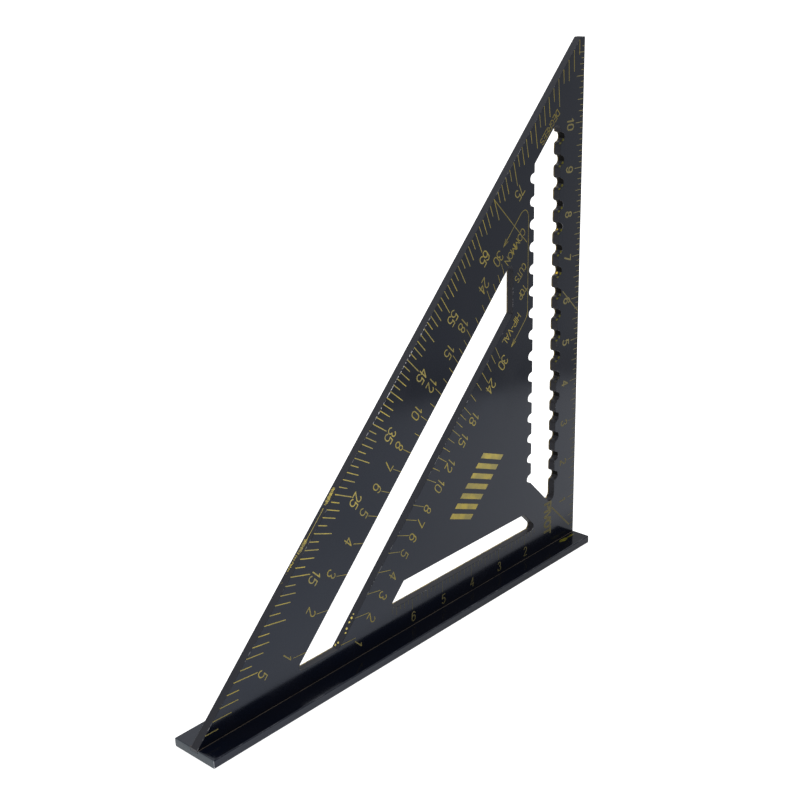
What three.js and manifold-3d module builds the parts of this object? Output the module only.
// A 12 inch speed square (rafter square): a slotted triangular blade seated in the groove of a
// flat fence and pulled down into it by countersunk screws from underneath.
//
// Millimetres, +Z up. X runs along the fence, with the square corner (the pivot) at +X. Y is the
// thickness direction, and the scale face of the blade looks along -Y. The origin is the middle
// of the fence's underside.
import * as THREE from "three";
import { mergeVertices } from "three/addons/utils/BufferGeometryUtils.js";
import Module from "manifold-3d";

const wasm = await Module();
wasm.setup();

const INCH = 25.4;

// Overall triangle, in inches: the legs run along the fence and up the square edge.
const FENCE_LEG = 11.97;
const BLADE_TOP = 11.82;
const TOP_CORNER_RADIUS = 0.02;

// Blade and fence, in millimetres: both of 3/16 inch plate, the fence 1 1/8 inches wide.
const BLADE_THICKNESS = (3 / 16) * INCH;
const BLADE_CHAMFER = 0.3;
const FENCE_LENGTH = FENCE_LEG * INCH;
const FENCE_WIDTH = (9 / 8) * INCH;
const FENCE_THICKNESS = (3 / 16) * INCH;
const FENCE_EDGE_RADIUS = 0.7;
const FENCE_END_CHAMFER = 0.4;
const GROOVE_DEPTH = 1.5;
const GROOVE_MOUTH_CHAMFER = 0.25;

// Scribing slot along the hypotenuse, in inches: its long walls are lines u + v = constant.
const MITRE_SLOT_OUTER_SUM = 9.89;
const MITRE_SLOT_INNER_SUM = 8.67;
const MITRE_SLOT_FOOT = 0.41;
const MITRE_SLOT_END = 2.52;

// Window above the fence, in inches.
const WINDOW_FOOT = 0.635;
const WINDOW_HEAD = 1.15;
const WINDOW_NEAR_CORNER = 1.515;
const WINDOW_FAR_CORNER = 6.765;

// Tall scribing slot beside the square edge, in inches. Its head is parallel to the hypotenuse.
const TALL_SLOT_NEAR = 0.85;
const TALL_SLOT_FAR = 1.775;
const TALL_SLOT_HEAD_SUM = 11.08;

// Scribe notches in the tall slot, in inches: every half inch on each wall, a quarter inch apart
// from wall to wall.
const NOTCH_PITCH = 0.5;
const NOTCH_DEPTH = 0.15;
const NOTCH_MOUTH_HALF_WIDTH = 0.12;
const NOTCH_FLOOR_HALF_WIDTH = 0.075;
const NOTCH_FLOOR_RADIUS = 0.1;
const NEAR_NOTCHES = { first: 1.75, last: 9.75, mouthRadius: 0.08 };
const FAR_NOTCHES = { first: 2, last: 9, mouthRadius: 0.03 };

// Corner radii of the slots, in inches.
const ACUTE_RADIUS = 0.1;
const OBTUSE_RADIUS = 0.05;
const TALL_SLOT_TIP_RADIUS = 0.145;

// Countersunk socket screws, in millimetres. Their threads reach into the blade's foot.
const SCREW_HEAD_RADIUS = 2.5;
const SCREW_HEAD_RIM = 0.25;
const SCREW_HEAD_HEIGHT = 1.5;
const SCREW_SHANK_RADIUS = 1.25;
const SCREW_RECESS = 0.2;
const SCREW_TIP = 10;
const SCREW_TIP_CHAMFER = 0.4;
const SOCKET_RADIUS = 0.9;
const SOCKET_DEPTH = 0.9;
const WEB_HOLE_RADIUS = 1.4;
const PILOT_RADIUS = 1.3;
const PILOT_TIP = 10.6;
const SCREW_STATIONS = [0.8, 2.85, 4.9, 6.95, 9, 11.05];

const ARC_DIVISIONS = 2;
const ROUND_SEGMENTS = 24;
const HEXAGON_SIDES = 6;
const CUT_OVERSHOOT = 1;

const ANODISED = { color: 0x1b1c20, roughness: 0.3, metalness: 0.75 };
const BLACK_OXIDE = { color: 0x141414, roughness: 0.5, metalness: 0.8 };

// One corner of an outline on the blade: u inches in from the square edge, v inches above the
// fence, and its radius in inches.
function corner(u, v, radius = 0) {
  const point = new THREE.Vector2(FENCE_LENGTH / 2 - u * INCH, v * INCH);
  return { point, radius: radius * INCH };
}

// Draws a closed outline through the corners, with a tangent arc at each one that has a radius.
function drawOutline(path, corners) {
  corners.forEach(({ point, radius }, index) => {
    const before = corners[(index + corners.length - 1) % corners.length].point;
    const after = corners[(index + 1) % corners.length].point;
    const back = before.clone().sub(point).normalize();
    const ahead = after.clone().sub(point).normalize();
    const halfAngle = Math.acos(back.dot(ahead)) / 2;
    const reach = radius / Math.tan(halfAngle);
    const start = point.clone().addScaledVector(back, reach);
    if (index === 0) {
      path.moveTo(start.x, start.y);
    } else {
      path.lineTo(start.x, start.y);
    }
    if (radius > 0) {
      const bisector = back.clone().add(ahead).normalize();
      const centre = point.clone().addScaledVector(bisector, radius / Math.sin(halfAngle));
      const end = point.clone().addScaledVector(ahead, reach);
      const startAngle = start.clone().sub(centre).angle();
      const endAngle = end.clone().sub(centre).angle();
      const turnsClockwise = back.cross(ahead) > 0;
      path.absarc(centre.x, centre.y, radius, startAngle, endAngle, turnsClockwise);
    }
  });
  path.closePath();
  return path;
}

// One scribe notch in the wall at u = wall. It is cut towards +u when side is 1 and towards -u
// when side is -1, and the outline passes it going up when going is 1 and down when it is -1.
function notch(wall, side, v, going, mouthRadius) {
  const floor = wall + side * NOTCH_DEPTH;
  const mouthReach = going * NOTCH_MOUTH_HALF_WIDTH;
  const floorReach = going * NOTCH_FLOOR_HALF_WIDTH;
  return [
    corner(wall, v - mouthReach, mouthRadius),
    corner(floor, v - floorReach, NOTCH_FLOOR_RADIUS),
    corner(floor, v + floorReach, NOTCH_FLOOR_RADIUS),
    corner(wall, v + mouthReach, mouthRadius),
  ];
}

function notchHeights({ first, last }) {
  const count = Math.round((last - first) / NOTCH_PITCH) + 1;
  return Array.from({ length: count }, (_, index) => first + index * NOTCH_PITCH);
}

// The triangle's outline, with the tongue that goes down into the fence.
function bladeOutline() {
  const tongue = -GROOVE_DEPTH / INCH;
  return drawOutline(new THREE.Shape(), [
    corner(0, tongue),
    corner(0, BLADE_TOP, TOP_CORNER_RADIUS),
    corner(FENCE_LEG - BLADE_TOP, BLADE_TOP, TOP_CORNER_RADIUS),
    corner(FENCE_LEG, 0),
    corner(FENCE_LEG, tongue),
  ]);
}

function mitreSlot() {
  return drawOutline(new THREE.Path(), [
    corner(MITRE_SLOT_OUTER_SUM - MITRE_SLOT_FOOT, MITRE_SLOT_FOOT, ACUTE_RADIUS),
    corner(MITRE_SLOT_INNER_SUM - MITRE_SLOT_FOOT, MITRE_SLOT_FOOT, OBTUSE_RADIUS),
    corner(MITRE_SLOT_END, MITRE_SLOT_INNER_SUM - MITRE_SLOT_END, OBTUSE_RADIUS),
    corner(MITRE_SLOT_END, MITRE_SLOT_OUTER_SUM - MITRE_SLOT_END, ACUTE_RADIUS),
  ]);
}

function windowSlot() {
  const taper = WINDOW_HEAD - WINDOW_FOOT;
  return drawOutline(new THREE.Path(), [
    corner(WINDOW_FAR_CORNER, WINDOW_FOOT, ACUTE_RADIUS),
    corner(WINDOW_NEAR_CORNER, WINDOW_FOOT, ACUTE_RADIUS),
    corner(WINDOW_NEAR_CORNER + taper, WINDOW_HEAD, OBTUSE_RADIUS),
    corner(WINDOW_FAR_CORNER - taper, WINDOW_HEAD, OBTUSE_RADIUS),
  ]);
}

// The tall slot's outline goes up its near wall, over its slanted head, down its far wall and
// down its slanted foot, which starts at the mouth of the lowest far notch. The mouths that meet
// the head's tip and the foot have no radius of their own.
function tallSlot() {
  const nearWall = notchHeights(NEAR_NOTCHES).flatMap((v) =>
    notch(TALL_SLOT_NEAR, -1, v, 1, NEAR_NOTCHES.mouthRadius));
  const farWall = notchHeights(FAR_NOTCHES).reverse().flatMap((v) =>
    notch(TALL_SLOT_FAR, 1, v, -1, FAR_NOTCHES.mouthRadius));
  nearWall.at(-1).radius = 0;
  farWall.at(-1).radius = 0;
  const footTop = FAR_NOTCHES.first - NOTCH_MOUTH_HALF_WIDTH;
  const footTip = footTop - (TALL_SLOT_FAR - TALL_SLOT_NEAR);
  return drawOutline(new THREE.Path(), [
    corner(TALL_SLOT_NEAR, footTip, TALL_SLOT_TIP_RADIUS),
    ...nearWall,
    corner(TALL_SLOT_NEAR, TALL_SLOT_HEAD_SUM - TALL_SLOT_NEAR, TALL_SLOT_TIP_RADIUS),
    corner(TALL_SLOT_FAR, TALL_SLOT_HEAD_SUM - TALL_SLOT_FAR, OBTUSE_RADIUS),
    ...farWall,
  ]);
}

// Turns a closed geometry into a manifold solid: positions only, shared vertices merged, and
// triangles that have shrunk to a line left out.
function solidOf(geometry) {
  const bare = geometry.clone();
  bare.deleteAttribute("normal");
  bare.deleteAttribute("uv");
  const merged = mergeVertices(bare);
  const triangles = [];
  for (let index = 0; index < merged.index.count; index += 3) {
    const [a, b, c] = [0, 1, 2].map((offset) => merged.index.getX(index + offset));
    if (a !== b && b !== c && c !== a) {
      triangles.push(a, b, c);
    }
  }
  return new wasm.Manifold(new wasm.Mesh({
    numProp: 3,
    vertProperties: new Float32Array(merged.attributes.position.array),
    triVerts: new Uint32Array(triangles),
  }));
}

function geometryOf(solid) {
  const mesh = solid.getMesh();
  const geometry = new THREE.BufferGeometry();
  geometry.setAttribute("position", new THREE.BufferAttribute(mesh.vertProperties, 3));
  geometry.setIndex(new THREE.BufferAttribute(mesh.triVerts, 1));
  geometry.computeVertexNormals();
  return geometry;
}

// A solid of revolution about +Z from [radius, height] pairs that start and end on the axis.
function turned(profile) {
  const points = profile.map(([radius, height]) => new THREE.Vector2(radius, height));
  return new THREE.LatheGeometry(points, ROUND_SEGMENTS).rotateX(Math.PI / 2);
}

function screwX(station) {
  return FENCE_LENGTH / 2 - station * INCH;
}

// The countersunk hole through the fence's web, cut wide of the shank but true to the head.
function countersink(station) {
  const seat = SCREW_RECESS + SCREW_HEAD_RIM;
  const slope = (SCREW_HEAD_RADIUS - SCREW_SHANK_RADIUS) / (SCREW_HEAD_HEIGHT - SCREW_HEAD_RIM);
  const throat = seat + (SCREW_HEAD_RADIUS - WEB_HOLE_RADIUS) / slope;
  return turned([
    [0, -CUT_OVERSHOOT],
    [SCREW_HEAD_RADIUS, -CUT_OVERSHOOT],
    [SCREW_HEAD_RADIUS, seat],
    [WEB_HOLE_RADIUS, throat],
    [WEB_HOLE_RADIUS, FENCE_THICKNESS],
    [0, FENCE_THICKNESS],
  ]).translate(screwX(station), 0, 0);
}

function pilotHole(station) {
  return turned([
    [0, 0],
    [PILOT_RADIUS, 0],
    [PILOT_RADIUS, PILOT_TIP],
    [0, PILOT_TIP],
  ]).translate(screwX(station), 0, 0);
}

// The blade: a flat plate, chamfered along every edge, with a threaded hole above each screw.
function buildBlade() {
  const outline = bladeOutline();
  outline.holes.push(mitreSlot(), windowSlot(), tallSlot());
  const plate = new THREE.ExtrudeGeometry(outline, {
    depth: BLADE_THICKNESS - 2 * BLADE_CHAMFER,
    curveSegments: ARC_DIVISIONS,
    bevelSegments: 1,
    bevelThickness: BLADE_CHAMFER,
    bevelSize: BLADE_CHAMFER,
    bevelOffset: -BLADE_CHAMFER,
  });
  plate.translate(0, 0, BLADE_CHAMFER - BLADE_THICKNESS / 2);
  plate.rotateX(Math.PI / 2);
  plate.translate(0, 0, FENCE_THICKNESS);
  const pilots = SCREW_STATIONS.map((station) => solidOf(pilotHole(station)));
  const solid = pilots.reduce((rest, pilot) => rest.subtract(pilot), solidOf(plate));
  return geometryOf(solid);
}

// The fence's section across its length, drawn with Y to the right and Z up.
function fenceSection() {
  const half = FENCE_WIDTH / 2;
  const groove = BLADE_THICKNESS / 2;
  const mouth = groove + GROOVE_MOUTH_CHAMFER;
  const top = FENCE_THICKNESS;
  const sectionCorner = (y, z, radius = 0) => ({ point: new THREE.Vector2(y, z), radius });
  return drawOutline(new THREE.Shape(), [
    sectionCorner(-half, 0, FENCE_EDGE_RADIUS),
    sectionCorner(half, 0, FENCE_EDGE_RADIUS),
    sectionCorner(half, top, FENCE_EDGE_RADIUS),
    sectionCorner(mouth, top),
    sectionCorner(groove, top - GROOVE_MOUTH_CHAMFER),
    sectionCorner(groove, top - GROOVE_DEPTH),
    sectionCorner(-groove, top - GROOVE_DEPTH),
    sectionCorner(-groove, top - GROOVE_MOUTH_CHAMFER),
    sectionCorner(-mouth, top),
    sectionCorner(-half, top, FENCE_EDGE_RADIUS),
  ]);
}

// The fence: one straight bar with a groove for the blade and a countersink for each screw.
function buildFence() {
  const bar = new THREE.ExtrudeGeometry(fenceSection(), {
    depth: FENCE_LENGTH - 2 * FENCE_END_CHAMFER,
    curveSegments: ARC_DIVISIONS,
    bevelSegments: 1,
    bevelThickness: FENCE_END_CHAMFER,
    bevelSize: FENCE_END_CHAMFER,
    bevelOffset: -FENCE_END_CHAMFER,
  });
  const acrossY = new THREE.Vector3(0, 1, 0);
  const upZ = new THREE.Vector3(0, 0, 1);
  const alongX = new THREE.Vector3(1, 0, 0);
  bar.applyMatrix4(new THREE.Matrix4().makeBasis(acrossY, upZ, alongX));
  bar.translate(FENCE_END_CHAMFER - FENCE_LENGTH / 2, 0, 0);
  const sinks = SCREW_STATIONS.map((station) => solidOf(countersink(station)));
  return geometryOf(sinks.reduce((rest, sink) => rest.subtract(sink), solidOf(bar)));
}

// One countersunk screw with a hexagon socket, pointing up, with its head at z = 0.
function buildScrew() {
  const body = turned([
    [0, 0],
    [SCREW_HEAD_RADIUS, 0],
    [SCREW_HEAD_RADIUS, SCREW_HEAD_RIM],
    [SCREW_SHANK_RADIUS, SCREW_HEAD_HEIGHT],
    [SCREW_SHANK_RADIUS, SCREW_TIP - SCREW_RECESS - SCREW_TIP_CHAMFER],
    [SCREW_SHANK_RADIUS - SCREW_TIP_CHAMFER, SCREW_TIP - SCREW_RECESS],
    [0, SCREW_TIP - SCREW_RECESS],
  ]);
  const height = SOCKET_DEPTH + CUT_OVERSHOOT;
  const socket = new THREE.CylinderGeometry(SOCKET_RADIUS, SOCKET_RADIUS, height, HEXAGON_SIDES);
  socket.rotateX(Math.PI / 2);
  socket.translate(0, 0, SOCKET_DEPTH - height / 2);
  return geometryOf(solidOf(body).subtract(solidOf(socket)));
}

const anodised = new THREE.MeshStandardMaterial(ANODISED);
const blackOxide = new THREE.MeshStandardMaterial(BLACK_OXIDE);

const square = new THREE.Group();

const blade = new THREE.Mesh(buildBlade(), anodised);
blade.name = "blade";
square.add(blade);

const fence = new THREE.Mesh(buildFence(), anodised);
fence.name = "fence";
square.add(fence);

const screwGeometry = buildScrew();
SCREW_STATIONS.forEach((station, index) => {
  const screw = new THREE.Mesh(screwGeometry, blackOxide);
  screw.name = `fence_screw_${index + 1}`;
  screw.position.set(screwX(station), 0, SCREW_RECESS);
  square.add(screw);
});

export default square;
